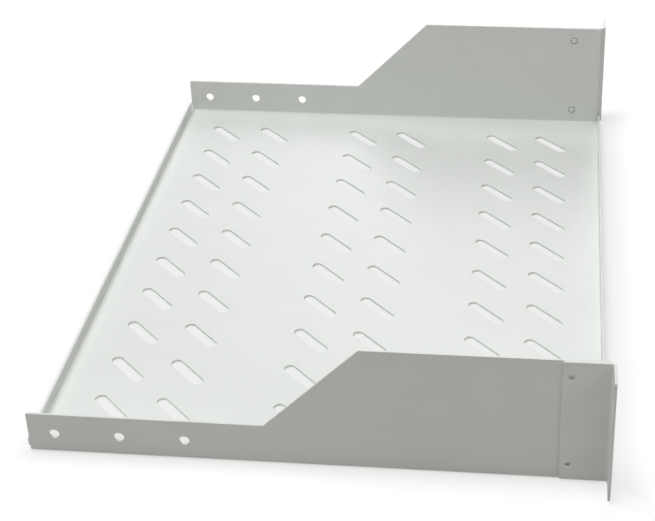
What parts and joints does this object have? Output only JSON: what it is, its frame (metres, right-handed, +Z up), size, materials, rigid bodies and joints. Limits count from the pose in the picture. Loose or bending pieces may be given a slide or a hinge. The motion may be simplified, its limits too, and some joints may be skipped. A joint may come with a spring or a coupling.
{
  "type": "rack shelf",
  "caption": "Ventilated rack shelf: folded sheet-steel tray with slanted slots, tall side walls stepping down at the rear, low front and rear lips and a mounting ear at each front corner.",
  "frame": {"origin": "middle of the outline seen from above, on the surface that the shelf stands on", "axes": "+X across the rack, +Y from the front flanges to the rear, +Z up"},
  "size_m": [0.4826, 0.3516, 0.0875],
  "materials": {
    "tray_coat": "light grey powder coat, satin, fine texture",
    "ear_coat": "light grey powder coat, satin, fine texture"
  },
  "bodies": {
    "root": {"tray": "tray_coat", "left_ear": "ear_coat", "right_ear": "ear_coat"}
  },
  "joints": []
}
